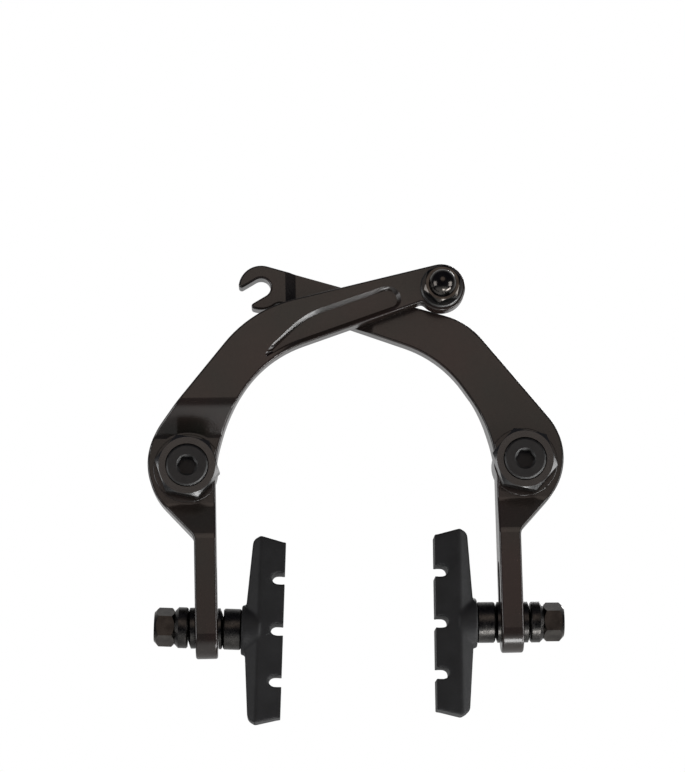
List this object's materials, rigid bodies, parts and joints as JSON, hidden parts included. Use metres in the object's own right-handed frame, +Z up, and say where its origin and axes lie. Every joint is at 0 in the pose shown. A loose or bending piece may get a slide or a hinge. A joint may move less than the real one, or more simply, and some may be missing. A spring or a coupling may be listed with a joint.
{
  "type": "bicycle u brake",
  "caption": "Crossed-arm bicycle rim brake with hook and cable anchor, sprung pivots and toed pads on slotted legs.",
  "frame": {"origin": "midway between the two pivot bolts' axes, on the plane of the frame that the pivots are screwed against", "axes": "+X to the right seen from the front, +Y backwards along the pivot bolts into the frame, +Z up towards the cable"},
  "size_m": [0.124, 0.0429, 0.1372],
  "materials": {
    "arm_black": "semi-gloss black over forged aluminium",
    "bearing_bronze": "plain bearing bronze",
    "adjuster_black": "black oxide, oiled",
    "bolt_black": "black oxide, turned",
    "spring_steel": "bright spring wire",
    "cap_plastic": "moulded black",
    "pad_rubber": "moulded, matt",
    "fastener_black": "black zinc, semi-gloss",
    "nut_black": "black chrome, bright"
  },
  "bodies": {
    "pivots": {"left_spring_adjuster": "adjuster_black", "left_pivot_bolt": "bolt_black", "left_thrust_washer": "adjuster_black", "left_return_spring": "spring_steel", "left_dust_cap": "cap_plastic", "right_spring_adjuster": "adjuster_black", "right_pivot_bolt": "bolt_black", "right_thrust_washer": "adjuster_black", "right_return_spring": "spring_steel", "right_dust_cap": "cap_plastic"},
    "left_arm": {"left_arm": "arm_black", "left_bearing_sleeve": "bearing_bronze", "left_brake_pad": "pad_rubber", "left_pad_stud": "fastener_black", "left_pad_spacer": "fastener_black", "left_inner_domed_washer": "fastener_black", "left_outer_domed_washer": "fastener_black", "left_outer_cup_washer": "fastener_black", "left_pad_nut": "nut_black", "anchor_bolt": "fastener_black", "anchor_washer": "fastener_black", "anchor_dome_nut": "nut_black"},
    "right_arm": {"right_arm": "arm_black", "right_bearing_sleeve": "bearing_bronze", "right_brake_pad": "pad_rubber", "right_pad_stud": "fastener_black", "right_pad_spacer": "fastener_black", "right_inner_domed_washer": "fastener_black", "right_outer_domed_washer": "fastener_black", "right_outer_cup_washer": "fastener_black", "right_pad_nut": "nut_black"}
  },
  "joints": [
    {"name": "left_arm_pivot", "type": "hinge", "parent": "pivots", "child": "left_arm", "pos_m": [-0.05, 0, 0], "axis": [0, -1, 0], "range_deg": [-10, 12], "stiffness_Nm_per_rad": 1.5, "deforming": ["left_return_spring"]},
    {"name": "right_arm_pivot", "type": "hinge", "parent": "pivots", "child": "right_arm", "pos_m": [0.05, 0, 0], "axis": [0, 1, 0], "range_deg": [-10, 12], "stiffness_Nm_per_rad": 1.5, "deforming": ["right_return_spring"]}
  ]
}
